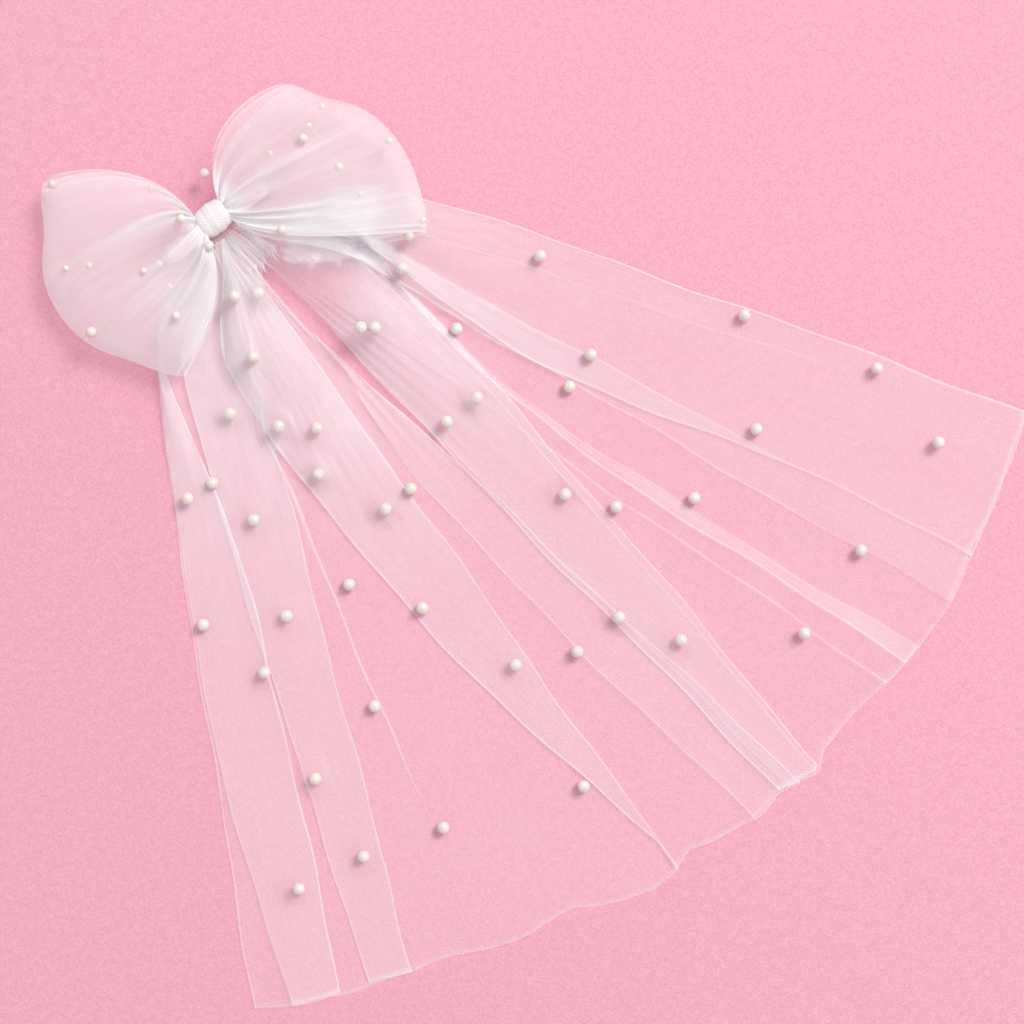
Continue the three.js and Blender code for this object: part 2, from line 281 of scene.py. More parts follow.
# ---- the tails ----
# A fold or edge of a tail is a line from the knot to the hem. Its direction is in radians from -Y
# towards +X, at each distance r from the knot's middle.

TAIL_START = 14.0
TAIL_LENGTH = 500.0
TAIL_LANDS = 62.0
TAIL_TOP = 11.4  # how far the cloth comes down between TAIL_START and TAIL_LANDS
OFFSET_REACH = 100.0
SWING_FADE = 75.0
CLOTH_RISE = 0.5  # the lowest cloth's height over the floor
CREASE_RISE = 0.7  # a crease stands this much proud
NARROWEST = 6.0  # the least width of cloth that a panel takes up
HEM_DENSITY = 1.5
HEM_OVERSHOOT = 16  # the lines are worked out this far past TAIL_LENGTH


def line(turn, offset, swing=0.0, bend=0.0):
    """turn is the direction in degrees, offset how far aside of the knot's middle it points, swing a
    bow near the knot, and bend the degrees that it turns on its way to the hem."""

    def direction(r):
        aside = smooth(0, OFFSET_REACH, r) * (offset + swing * np.exp((OFFSET_REACH - r) / SWING_FADE))
        uneven = 0.9 * np.sin(r / 31 + 2.3 * turn) + 0.6 * np.sin(r / 13 + 1.7 * offset)
        return np.radians(turn + bend * r / TAIL_LENGTH) + np.arctan2(aside + uneven * smooth(60, 200, r), r)

    return direction


def between(first, second, share):
    return lambda r: first(r) * (1 - share) + second(r) * share


def always(r):
    return np.ones_like(r)


def seen_from(low, high):
    return lambda r: smooth(low, high, r)


def seen_to(low, high):
    return lambda r: 1 - smooth(low, high, r)


NEAR_KNOT_R = [38, 52, 76, 105, 122]
NEAR_KNOT_TURN = [14, -3, -18.5, -23, -21]  # a fold that swings right under the knot
POUCH_R = [42, 53, 62, 86, 106]
POUCH_TURN = [36, 23, 29, 38.5, 39.5]  # the edge of the gathers puffed out below the right loop

LEFT_EDGE = line(-26.4, -63)
A_FOLD = line(-24.5, -22, -43)
B_FOLD = line(-21.3, -1)
B_LEFT = line(-18, -61)
TUCK_FREE = line(-13.1, -26)
C_HIDDEN = line(-0.5, 0)
C_FOLD_FREE = line(-5.3, -52, 0, 10.9)
D_BAND_FREE = line(10.4, -40, 40)
D_EDGE = line(11, -7, -3)
E_RIGHT = line(3.6, 76)
E_FOLD = line(8.7, 0, 4.5)
G_CREASE = line(19.5, 0)
H_LOW = line(22.2, -6, 45)
H_HIGH = line(23.4, -6, 45)
BAND_START = line(24, 24)
BAND_HIDDEN = line(27, 30, 10)
MARGIN = line(36, 33)
TOP_FOLD = line(33.5, 67)


def A_HIDDEN(r):  # the layer below draws away from the tail's edge towards the hem
    return LEFT_EDGE(r) + 0.006 + 0.042 * smooth(330, 520, r)


def TUCK(r):
    near = np.radians(np.interp(r, NEAR_KNOT_R, NEAR_KNOT_TURN))
    return near + (TUCK_FREE(r) - near) * smooth(112, 150, r)


def pouch(r, turn):
    """1 over the gathers' puffed root, and its bright edge."""
    aside = turn - np.radians(np.interp(r, POUCH_R, POUCH_TURN))
    there = smooth(42, 54, r) * (1 - smooth(100, 112, r))
    return there * smooth(0, 0.02, aside), there * bump(aside - 0.012, 0.01)


def C_FOLD(r):  # the pleat closes before it would cross its hidden fold
    return np.minimum(C_FOLD_FREE(r), C_HIDDEN(r) - 0.004)


def D_BAND(r):
    return np.minimum(D_BAND_FREE(r), D_EDGE(r) - 0.03)


def E_HIDDEN(r):  # the tail's cut edge, just inside the pleat's fold
    return E_FOLD(r) + 0.012


E_SECOND = between(E_FOLD, E_RIGHT, 0.86)


def BAND_FOLD(r):  # the pleat runs out towards the hem
    return BAND_HIDDEN(r) - 0.09 * (1 - smooth(180, 400, r)) - 0.004


# The hem's distance from the knot at each direction in degrees, past its own ripple.
HEM_DEGREES = [-34, -27, -20, -12, -8.5, -5, -2, 1, 6.5, 8.5, 11.5, 13, 19, 23, 31, 41]
HEM_REACH = [507, 502, 496, 501, 497, 510, 516, 503, 518, 513, 523, 515, 519, 528, 531, 535]

# Ridges that several layers make together near the knot: two lines, height at the knot, and reach.
RAISED = [
    (LEFT_EDGE, A_FOLD, 7, 260),
    (C_FOLD, C_HIDDEN, 10, 280),
    (E_FOLD, E_RIGHT, 15, 330),
    (H_LOW, BAND_HIDDEN, 6, 280),
    (BAND_HIDDEN, TOP_FOLD, 9, 300),
]


class Panel:
    """A stretch of a tail's cloth between two lines. rank is its place in the stack of layers, and
    gather is how much it bunches near the knot. glow is how much denser the line at its end looks, and
    seen where that shows. crease says that the cloth runs on flat there into the next panel."""

    def __init__(self, start, end, rank, columns, glow=2.2, crease=False, gather=1.0, extra=0.0, seen=always):
        self.start, self.end, self.rank, self.columns = start, end, rank, columns
        self.glow, self.crease, self.gather, self.extra, self.seen = glow, crease, gather, extra, seen


LEFT_TAIL = [
    Panel(LEFT_EDGE, A_FOLD, 4, 14, 2.4),
    Panel(A_FOLD, A_HIDDEN, 3, 12, 0.9),
    Panel(A_HIDDEN, B_FOLD, 0, 18, 1.8),
    Panel(B_FOLD, B_LEFT, 1, 12, 1.6),
    Panel(B_LEFT, TUCK, 2, 18, 3.0, crease=True, gather=0.8, seen=seen_to(350, 420)),
    Panel(TUCK, C_HIDDEN, 2, 26, 1.5),
    Panel(C_HIDDEN, C_FOLD, 5, 20, 2.2),
    Panel(C_FOLD, D_BAND, 6, 26, 1.3, crease=True),
    Panel(D_BAND, D_EDGE, 6.2, 14, 2.0),
    Panel(D_EDGE, D_BAND, 5.8, 14, 0.9),
]
RIGHT_TAIL = [
    Panel(E_HIDDEN, E_RIGHT, 7, 16, 1.6),
    Panel(E_RIGHT, E_SECOND, 8, 8, 1.4, crease=True),
    Panel(E_SECOND, E_FOLD, 8, 16, 2.4),
    Panel(E_FOLD, G_CREASE, 9, 22, 2.0, crease=True, gather=0.7, seen=seen_from(200, 260)),
    Panel(G_CREASE, H_LOW, 9, 12, 2.2, crease=True, gather=0.4),
    Panel(H_LOW, H_HIGH, 9, 8, 1.2, crease=True, gather=1.0, extra=1.5),
    Panel(H_HIGH, BAND_START, 9, 10, 1.2, crease=True, gather=0.4, seen=seen_to(380, 440)),
    Panel(BAND_START, BAND_HIDDEN, 9, 12, 0.9, seen=seen_to(280, 420)),
    Panel(BAND_HIDDEN, BAND_FOLD, 10, 8, 1.6, seen=seen_to(330, 450)),
    Panel(BAND_FOLD, MARGIN, 11, 16, 1.0, crease=True, gather=0.6, seen=seen_to(330, 450)),
    Panel(MARGIN, TOP_FOLD, 11, 14, 1.8, gather=0.6),
    Panel(TOP_FOLD, BAND_START, 8.5, 22, 0.5, gather=0.6),
]
ALL_PANELS = LEFT_TAIL + RIGHT_TAIL

DRAPE = 5.0  # a layer comes down from another's edge over this width
GLOW = 0.75  # how strongly fold lines show, for every panel
LINE_WIDTH = 0.7  # half the width of the bright line that a fold or cut edge shows
ROWS = 120


def layer_gap(r):
    return 0.5 + 1.6 * (1 - smooth(60, 260, r))


def stack_height(rank, r, turn):
    """How high the layers under a panel lift it."""
    height = np.zeros_like(r)
    for other in ALL_PANELS:
        if other.rank < rank:
            low, high = sorted_lines(other, r)
            inside = np.minimum((turn - low) * r, (high - turn) * r)
            height += layer_gap(r) * smooth(-DRAPE, 0, inside)
    return height


def sorted_lines(panel, r):
    first, second = panel.start(r), panel.end(r)
    return np.minimum(first, second), np.maximum(first, second)


def ridge_height(r, turn):
    height = np.zeros_like(r)
    for start, end, rise, reach in RAISED:
        first, last = start(r), end(r)
        share = np.clip((turn - first) / (last - first), 0, 1)
        fade = smooth(TAIL_START, TAIL_LANDS + 10, r) * (1 - smooth(60, reach, r)) ** 1.5
        height += rise * fade * np.sin(np.pi * share) ** 0.8
    return height


def ripple(r, turn):
    """The hem's gentle waves, and finer gathers that fan out from the knot."""
    waves = 1.3 * (np.sin(19 * turn + 0.6) + 0.6 * np.sin(43 * turn + r / 90))
    fine = np.sin(150 * turn + 2 * np.sin(9 * turn)) * (1 - smooth(80, 300, r)) * smooth(20, 80, r)
    return (waves + 1.6) * smooth(150, 520, r) ** 2 * 0.8 + 0.8 * fine


def base_height(r):
    return FLOOR_Z + CLOTH_RISE + TAIL_TOP * (1 - smooth(TAIL_START, TAIL_LANDS, r))


def column_shares(count, width):
    """Where a panel's columns lie, as shares of its width in each row: close together at its lines."""
    near = np.array([0, LINE_WIDTH, 2 * LINE_WIDTH, 4 * LINE_WIDTH])
    even = np.arange(count) / (count - 1)
    shares = np.repeat(even[None, :], len(width), axis=0)
    for k, distance in enumerate(near):
        close = np.minimum(distance / np.maximum(width, 1e-6), even[k])
        shares[:, k] = close
        shares[:, count - 1 - k] = 1 - close
    return shares


def tail(name, panels):
    """One sheet of cloth, folded as its panels say."""
    way = np.linspace(0, 1, ROWS)
    reach = TAIL_START + (TAIL_LENGTH + HEM_OVERSHOOT - TAIL_START) * way
    points, uvs, densities = [], [], []
    cloth = 0.0
    for index, panel in enumerate(panels):
        first, last = panel.start(reach), panel.end(reach)
        width = np.abs(last - first) * reach
        shares = column_shares(panel.columns, width)
        turn = first[:, None] + (last - first)[:, None] * shares
        at_hem = np.degrees(turn[-1])
        ripples = 1.2 * np.sin(0.9 * at_hem + panel.rank) - 0.8 * (panel.rank % 3)
        hem = np.interp(at_hem, HEM_DEGREES, HEM_REACH) + ripples
        r = TAIL_START + (hem[None, :] - TAIL_START) * way[:, None]
        z = base_height(r) + ridge_height(r, turn) + ripple(r, turn) + stack_height(panel.rank, r, turn)
        gathered = 1 + 1.1 * panel.gather * (1 - smooth(90, 300, r))
        before = panels[index - 1] if index else panel
        density = gathered + panel.extra
        if panels is RIGHT_TAIL:
            puffed, edge = pouch(r, turn)
            density = density * (0.4 + 0.6 * smooth(78, 116, r)) + 1.6 * puffed + 2.5 * edge
        density[:, :2] += GLOW * before.glow * before.seen(reach)[:, None]
        density[:, -2:] += GLOW * panel.glow * panel.seen(reach)[:, None]
        density[-1] += HEM_DENSITY
        if panel.crease:
            z[:, -1] += CREASE_RISE
        runs_on = index > 0 and before.crease
        if runs_on:
            z[:, 0] += CREASE_RISE
        flat_width = max(np.abs(last - first)[-1] * TAIL_LENGTH, NARROWEST)
        u = cloth + flat_width * np.linspace(0, 1, panel.columns)
        cloth += flat_width
        columns = slice(1, None) if runs_on else slice(None)
        points.append(np.stack([r * np.sin(turn), -r * np.cos(turn), z], axis=2)[:, columns])
        uvs.append(np.stack([np.repeat(u[None, :], ROWS, axis=0), r], axis=2)[:, columns])
        densities.append(density[:, columns])
    grid = np.concatenate(points, axis=1)
    count = grid.shape[1]
    return add_mesh(
        name, grid.reshape(-1, 3), grid_faces(ROWS, count), TAIL_TULLE,
        np.concatenate(uvs, axis=1).reshape(-1, 2), np.concatenate(densities, axis=1),
    )


left_tail = tail("left_tail_sheet", LEFT_TAIL)
right_tail = tail("right_tail_sheet", RIGHT_TAIL)

# ---- the loops ----

LOOP_FRONT = 34.0
LOOP_BACK = 12.0
PINCH = 0.12
KNOT_X = 9.0
KNOT_HALF_WIDTH = 7.0
KNOT_Z = 19.6
OUTER_FOLD_Z = 13.0


class Pleat:
    """A ridge, or a groove where height is below 0, that runs out from the knot over a loop's face. It
    starts at `near` and ends at `far` across the loop, from -1 to 1, and fades out at `reach`. density is
    painted light: it thickens the cloth along a ridge into a painted highlight, and thins it along a groove
    into painted shade."""

    def __init__(self, near, far, height, reach, width, density=0.0):
        self.near, self.far, self.height, self.reach = near, far, height, reach
        self.width, self.density = width, density

    def shape(self, across, along):
        middle = self.near + (self.far - self.near) * along**0.6
        fade = smooth(0.02, 0.15, along) * (1 - smooth(0.35 * self.reach, self.reach, along))
        return fade * bump(across - middle, self.width)


# The last number of each pleat is painted light: cover added along a ridge paints a highlight, and cover
# taken away in a groove paints shade.
LEFT_PLEATS = [
    Pleat(0.95, 0.82, 2.4, 0.7, 0.05, 0.5),
    Pleat(0.76, 0.40, -5.0, 0.95, 0.09, -0.3),
    Pleat(0.60, 0.25, 6.0, 0.98, 0.07, 1.8),
    Pleat(0.44, 0.12, 1.8, 0.6, 0.04, 0.5),
    Pleat(0.28, -0.08, -4.5, 0.98, 0.09, -0.25),
    Pleat(0.08, -0.26, 3.4, 0.8, 0.07, 1.2),
    Pleat(-0.12, -0.40, 2.0, 0.6, 0.04, 0.6),
    Pleat(-0.30, -0.52, -2.2, 0.8, 0.07, -0.1),
    Pleat(-0.48, -0.66, 3.0, 0.85, 0.05, 0.9),
    Pleat(-0.72, -0.84, 1.8, 0.6, 0.04, 0.5),
    Pleat(-0.90, -0.95, 1.6, 0.5, 0.04, 0.4),
]
RIGHT_PLEATS = [
    Pleat(0.94, 0.90, 1.8, 0.55, 0.05, 0.4),
    Pleat(0.74, 0.66, -2.2, 0.75, 0.08, -0.1),
    Pleat(0.56, 0.46, 2.4, 0.7, 0.05, 0.6),
    Pleat(0.38, 0.28, -2.0, 0.75, 0.06, -0.1),
    Pleat(0.24, 0.09, 4.2, 0.98, 0.07, 1.4),
    Pleat(0.06, -0.12, 1.8, 0.6, 0.04, 0.6),
    Pleat(-0.10, -0.40, -3.4, 0.98, 0.08, -0.15),
    Pleat(-0.30, -0.64, 3.6, 0.95, 0.05, 1.2),
    Pleat(-0.50, -0.76, 2.0, 0.7, 0.05, 0.6),
    Pleat(-0.68, -0.84, -1.6, 0.7, 0.06, 0.0),
    Pleat(-0.86, -0.93, 2.0, 0.6, 0.04, 0.5),
]


class Loop:
    """A loop's outer fold is an arc that dips, by these shares of its radius, below and above its
    middle. flare holds the points that its lower and upper edges bend towards on their way out, and
    lap says where the lowest part of its front lies double."""

    def __init__(self, side, centre, radius, dip, axis, spread, flare, pleats, lap, back_shift):
        self.side, self.centre, self.radius, self.dip = side, centre, radius, dip
        self.axis, self.spread, self.flare = axis, spread, flare
        self.pleats, self.lap, self.back_shift = pleats, lap, back_shift

    def points(self, across, along, back, ply):
        """Points across the loop, from -1 to 1, and along it, from 0 at the knot to 1 at the fold."""
        angle = np.radians(self.axis + self.side * across * self.spread)
        slack = self.dip[0] + (self.dip[1] - self.dip[0]) * (across + 1) / 2
        reach = self.radius * (1 - slack * np.sin(np.pi * np.minimum(np.abs(across), 1) ** 1.5) ** 2)
        arc = (self.centre[0] + reach * np.cos(angle), self.centre[1] + reach * np.sin(angle))
        start = (np.full_like(across, self.side * KNOT_X), across * KNOT_HALF_WIDTH)
        lower, upper = self.flare
        share = (across + 1) / 2
        bow = (upper[1] + lower[1]) / 2 * across**2 + (upper[1] - lower[1]) / 2 * across
        flare = (lower[0] + (upper[0] - lower[0]) * share, bow)
        blend = ((1 - along) ** 2, 2 * along * (1 - along), along**2)
        x, y = (blend[0] * start[k] + blend[1] * flare[k] + blend[2] * arc[k] for k in range(2))
        puff = (PINCH + (1 - PINCH) * along) * np.sqrt(np.maximum(1 - along**3, 0))
        z = KNOT_Z + (OUTER_FOLD_Z - KNOT_Z) * along
        relief = sum(p.height * p.shape(across, along) for p in self.pleats)
        settle = smooth(0, 0.3, along) * (1 - smooth(0.9, 1, along))
        if back:
            z = z - (LOOP_BACK - 1.5 * ply) * puff - 0.5 * relief
            y = y + self.back_shift * np.sqrt(along) * (1 - along**6)
        else:
            z = z + (LOOP_FRONT - 3.0 - 1.5 * ply) * puff + relief * (1 - 0.3 * ply)
        z = z + settle * 1.2 * np.sin(6.5 * across + 4 * along + 2.2 * self.side + ply)
        return np.stack([x, y, z], axis=-1)

    def density(self, across, along, back, ply):
        value = 1 + 3.2 * (1 - smooth(0.02, 0.34, along))
        # The pleats' painted light: denser cloth on the ridges as a painted highlight, thinner in the grooves
        # as painted shade, half as much on the back.
        value = value + sum(p.density * p.shape(across, along) for p in self.pleats) * (0.5 if back else 1)
        value = value + 1.2 * smooth(0.976, 0.988, np.abs(across))
        if not back:
            near, far, extra = self.lap
            line_at = near + (far - near) * along**0.6
            inside = smooth(0, 0.02, line_at - across) * (1 - smooth(0.75, 0.92, along))
            value = value + extra * inside * (1 - 0.4 * ply)
        return value


LEFT_LOOP = Loop(
    side=-1, centre=(-24.5, 7.5), radius=91, dip=(0.045, 0.075), axis=180, spread=57,
    flare=((-19, -54), (-8, 55)), pleats=LEFT_PLEATS, lap=(0.05, -0.30, 0.35), back_shift=5.0,
)
RIGHT_LOOP = Loop(
    side=1, centre=(34, -29), radius=90, dip=(0.0, 0.06), axis=7, spread=46,
    flare=((17, -38), (24, 54)), pleats=RIGHT_PLEATS, lap=(-0.30, -0.64, 1.3), back_shift=-5.0,
)
LOOP_HALF_WIDTH = 75  # of the flat cloth, for its weave
LOOP_COLUMNS = 110
LOOP_ROWS = 121
PLY_INSET = 0.055


def loop_sheet(name, loop, ply):
    """One ply of a loop: a strip from the back at the knot, round the outer fold, to the front."""
    edge = 1 - PLY_INSET * ply
    even = np.linspace(-1, 1, LOOP_COLUMNS)
    across = (0.8 * even + 0.2 * np.sin(even * np.pi / 2)) * edge
    way = np.linspace(-1, 1, LOOP_ROWS)
    along = 1 - way**2
    t, s = np.meshgrid(across, along)
    back = np.broadcast_to((way < 0)[:, None], t.shape)
    points = np.where(back[..., None], loop.points(t, s, True, ply), loop.points(t, s, False, ply))
    density = np.where(back, loop.density(t / edge, s, True, ply), loop.density(t / edge, s, False, ply))
    density = (density + 0.8 * bump(way[:, None], 0.05)) * (1 - 0.15 * ply)
    steps = np.linalg.norm(np.diff(points[:, LOOP_COLUMNS // 2], axis=0), axis=1)
    length = np.concatenate([[0], np.cumsum(steps)])
    uv = np.stack([t * LOOP_HALF_WIDTH, np.broadcast_to(length[:, None], t.shape)], axis=2)
    return add_mesh(
        name, points.reshape(-1, 3), grid_faces(LOOP_ROWS, LOOP_COLUMNS), LOOP_TULLE,
        uv.reshape(-1, 2), density,
    )


loops = {}
for side, loop in (("left", LEFT_LOOP), ("right", RIGHT_LOOP)):
    loops[side] = [loop_sheet(f"{side}_loop_{ply}_ply", loop, k) for k, ply in enumerate(("outer", "inner"))]

# ---- the gathered header under the knot ----

HEADER_LEFT, HEADER_RIGHT = -24.0, 25.0
HEADER_WAVES = 14
HEADER_TOP = 16.5  # its height over the floor at the binding
HEADER_CLOTH = (260, 40)  # the ruffle's flat cloth, for its weave


def header_frill():
    """The tails' own top edge, turned over the binding and bunched into small standing pleats that run
    down side by side and end in round tips."""
    columns, rows = HEADER_WAVES * 16 + 1, 26
    share, way = np.meshgrid(np.linspace(0, 1, columns), np.linspace(0, 1, rows))
    phase = 2 * np.pi * HEADER_WAVES * share + 0.8 * np.sin(14 * share)
    spread = HEADER_LEFT + (HEADER_RIGHT - HEADER_LEFT) * share
    hem = 41 + 5 * np.sin(5.2 * share + 0.4) + 3 * np.sin(23 * share)
    tip = np.maximum(np.sin(phase), -0.4)
    open_out = smooth(0, 0.35, way)
    y = -8 - (hem + 5 * tip - 8) * way
    sway = 0.75 * np.sin(2 * phase) + 2.5 * np.sin(2.4 * way + 9 * share)
    x = spread * (0.45 + 0.55 * way) + open_out * sway
    z = FLOOR_Z + HEADER_TOP - 6.0 * way**1.5 + open_out * 2.6 * np.sin(phase)
    density = 0.5 + 4.0 * smooth(0.82, 1.0, np.abs(np.cos(phase))) + 3.0 * smooth(0.94, 0.97, way)
    points = np.stack([x, y, z], axis=2)
    uv = np.stack([share * HEADER_CLOTH[0], way * HEADER_CLOTH[1]], axis=2)
    return add_mesh(
        "header_frill", points.reshape(-1, 3), grid_faces(rows, columns), FRILL_TULLE,
        uv.reshape(-1, 2), density,
    )


frill = header_frill()

# ---- the knot ----

WRAP_LOW, WRAP_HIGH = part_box("knot_wrap")
CORE_LOW, CORE_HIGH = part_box("gathered_core")


def middle_and_half(low, high):
    """A box's middle and half its size, in millimetres, from corners in metres."""
    low, high = np.array(low), np.array(high)
    return (low + high) / 2 / MM, (high - low) / 2 / MM


def ring_mesh(name, low, high, profile, relief, material, density, columns=120, rows=40):
    """A tube round the X axis that fills a box. profile and relief give its radius as a share."""
    middle, half = middle_and_half(low, high)
    along = np.linspace(-1, 1, rows)
    around = np.linspace(0, 2 * np.pi, columns, endpoint=False)
    share, turn = np.meshgrid(along, around, indexing="ij")
    size = profile(share) * relief(share, turn)
    x = middle[0] + half[0] * share
    y = middle[1] + half[1] * size * np.cos(turn)
    z = middle[2] + half[2] * size * np.sin(turn)
    uv = np.stack([x, turn * half[1]], axis=2)
    points = np.stack([x, y, z], axis=2)
    return add_mesh(
        name, points.reshape(-1, 3), grid_faces(rows, columns, closed=True), material,
        uv.reshape(-1, 2), np.full(share.size, density),
    )


WRAP_SPREAD = 1.2  # the band's soft ends spread over the loops' roots


def wrap_profile(share):
    return 0.66 + 0.34 * np.maximum(1 - share**2, 0) ** 0.5


def wrap_relief(share, turn):
    folds = np.sin(9 * share + 1.6 * np.sin(turn) + 0.5) + 0.5 * np.sin(21 * share - 1.8 * np.cos(turn) + 1)
    return 0.88 + 0.014 * folds + 0.02 * np.sin(3 * turn + 2 * share)


wrap_middle = (WRAP_LOW.x + WRAP_HIGH.x) / 2
for corner in (WRAP_LOW, WRAP_HIGH):
    corner.x = wrap_middle + (corner.x - wrap_middle) * WRAP_SPREAD
wrap = ring_mesh("knot_band", WRAP_LOW, WRAP_HIGH, wrap_profile, wrap_relief, WRAP_TULLE, 1.2)


def core_relief(share, turn):
    return 0.9 + 0.1 * np.abs(np.sin(9 * turn + 0.8 * np.sin(4 * share)))


def core_profile(share):
    return 0.88 + 0.12 * share**2


core = ring_mesh(
    "gathered_bundle", CORE_LOW, CORE_HIGH, core_profile, core_relief, WRAP_TULLE, 1.0
)

COIL_RADIUS = 0.34
COIL_TURNS = 6
COIL_STEPS = 48  # in each turn
COIL_SIDES = 8


def thread_coil():
    """The binding: one thread wound round the gathers."""
    middle, half = middle_and_half(*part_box("binding_thread"))
    radius = COIL_RADIUS
    path = np.linspace(0, 1, COIL_TURNS * COIL_STEPS + 1)
    around = 2 * np.pi * COIL_TURNS * path
    line_points = np.stack([
        middle[0] + (half[0] - radius) * (2 * path - 1),
        middle[1] + (half[1] - radius) * np.cos(around),
        middle[2] + (half[2] - radius) * np.sin(around),
    ], axis=1)
    ahead = np.gradient(line_points, axis=0)
    ahead /= np.linalg.norm(ahead, axis=1)[:, None]
    side = np.cross(ahead, (1.0, 0, 0))
    side /= np.linalg.norm(side, axis=1)[:, None]
    up = np.cross(side, ahead)
    turn = np.linspace(0, 2 * np.pi, COIL_SIDES, endpoint=False)
    rings = line_points[:, None] + radius * (
        np.cos(turn)[None, :, None] * side[:, None] + np.sin(turn)[None, :, None] * up[:, None]
    )
    count = len(line_points)
    faces = grid_faces(count, COIL_SIDES, closed=True)
    faces.append(tuple(reversed(range(COIL_SIDES))))
    faces.append(tuple((count - 1) * COIL_SIDES + k for k in range(COIL_SIDES)))
    return add_mesh("binding_turns", rings.reshape(-1, 3), faces, THREAD)


coil = thread_coil()


FELT_THICK = 0.5
FELT_CORNER = 3.0


def felt_piece():
    """The felt strip over the barrette's arched bar, with rounded corners."""
    low, high = (np.array(corner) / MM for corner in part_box("felt_pad"))
    middle, half = (low + high) / 2, (high - low) / 2
    columns, rows = 80, 14
    along, across = np.meshgrid(np.linspace(-1, 1, columns), np.linspace(-1, 1, rows))
    to_end = (1 - np.abs(along)) * half[0]
    corner = FELT_CORNER - np.sqrt(np.maximum(FELT_CORNER**2 - np.maximum(FELT_CORNER - to_end, 0) ** 2, 0))
    x = middle[0] + half[0] * along
    y = middle[1] + (half[1] - corner) * across
    under = low[2] + (high[2] - low[2] - FELT_THICK) * (1 - along**2)
    lower = np.stack([x, y, under], axis=2).reshape(-1, 3)
    upper = lower + (0, 0, FELT_THICK)
    count = rows * columns
    sheet = grid_faces(rows, columns)
    rim = [*range(columns), *range(2 * columns - 1, count, columns),
           *range(count - 2, count - columns - 1, -1), *range(count - 2 * columns, 0, -columns)]
    faces = [tuple(reversed(face)) for face in sheet]
    faces += [tuple(count + k for k in face) for face in sheet]
    faces += [(a, b, count + b, count + a) for a, b in zip(rim, rim[1:] + rim[:1])]
    return add_mesh("felt_backing", np.concatenate([lower, upper]), faces, FELT)


felt = felt_piece()

# ---- pearls ----

PEARL_RADIUS = 4.0
HOLE_RADIUS = 0.55
HOLE_INSET = 0.25  # the hole's wall starts this far inside its mouth
PEARL_STEPS = 17
PEARL_SEGMENTS = 24
random_turns = np.random.default_rng(11)


def pearl_mesh():
    """A pearl with its drill hole through it along X."""
    rim = math.asin(HOLE_RADIUS / PEARL_RADIUS)
    angles = np.linspace(rim, math.pi - rim, PEARL_STEPS)
    outer = [(PEARL_RADIUS * math.cos(a), PEARL_RADIUS * math.sin(a)) for a in angles]
    depth = outer[0][0] - HOLE_INSET
    inner = [(x, HOLE_RADIUS * 0.8) for x in np.linspace(-depth, depth, 4)]
    profile = outer + inner
    segments = PEARL_SEGMENTS
    points = []
    for x, radius in profile:
        for k in range(segments):
            turn = 2 * math.pi * k / segments
            points.append((x, radius * math.cos(turn), radius * math.sin(turn)))
    faces = []
    for i in range(len(profile)):
        j = (i + 1) % len(profile)
        for k in range(segments):
            n = (k + 1) % segments
            faces.append((i * segments + k, j * segments + k, j * segments + n, i * segments + n))
    pattern = add_mesh("pearl_pattern", points, faces, PEARL)
    mesh = pattern.data
    bpy.data.objects.remove(pattern)
    return mesh


PEARL_MESH = pearl_mesh()


def tree_of(*objects):
    """A search tree over these sheets together."""
    points, polygons = [], []
    for obj in objects:
        start = len(points)
        points += [v.co.copy() for v in obj.data.vertices]
        polygons += [[start + v for v in p.vertices] for p in obj.data.polygons]
    return BVHTree.FromPolygons(points, polygons)


RAY_START = 0.2  # metres, above everything
RAY_STEP = 0.00002


def layers_at(tree, x, y):
    """The heights in millimetres of the cloth's layers at a place, from the top down to the floor."""
    heights = []
    z = RAY_START
    while True:
        hit = tree.ray_cast(Vector((x * MM, y * MM, z)), Vector((0, 0, -1)))[0]
        if hit is None:
            return heights + [FLOOR_Z]
        heights.append(hit.z / MM)
        z = hit.z - RAY_STEP


def add_pearl(name, x, y, z):
    obj = bpy.data.objects.new(name, PEARL_MESH)
    bpy.context.scene.collection.objects.link(obj)
    obj.location = Vector((x, y, z)) * MM
    tilt, heading, roll = random_turns.uniform((-0.5, 0, 0), (0.5, 2 * math.pi, 2 * math.pi))
    obj.rotation_euler = (roll, tilt, heading)
    return obj


DRAPE_GAP = 0.4  # between a pearl and the cloth over it


def drape_over(obj, x, y, top, below):
    """Lifts the cloth above `below` over a pearl whose top is at `top`."""
    for vertex in obj.data.vertices:
        distance = math.hypot(vertex.co.x / MM - x, vertex.co.y / MM - y)
        if distance < 5 * PEARL_RADIUS and vertex.co.z / MM > below + 0.15:
            cap = math.sqrt(max(PEARL_RADIUS**2 - distance**2, 0)) - PEARL_RADIUS
            rise = top + DRAPE_GAP - below
            tent = rise * (1 - smooth(0.4 * PEARL_RADIUS, 4.2 * PEARL_RADIUS, distance))
            level = below + max(tent, rise + cap if distance < PEARL_RADIUS else 0)
            vertex.co.z = max(vertex.co.z, level * MM)


def polar(place):
    r, degrees = place
    return r * math.sin(math.radians(degrees)), -r * math.cos(math.radians(degrees))


# Pearls that lie under a fold of the tails, as (distance, degrees) rounded: the cloth shows over them.
COVERED = [
    (123, -32), (192, -29), (290, -30), (256, -26), (362, -26), (430, -29), (417, -23), (137, -19),
    (174, -14), (213, -5.5), (342, -2), (283, 16), (361, 9.5), (201, 20), (400, 12),
]
ONLY_SEEN_THROUGH = [(54, -5), (123, 20), (123, 39.6)]  # under the folds, and not in the CAD part
COVERED_SPOTS = [polar(place) for place in COVERED]

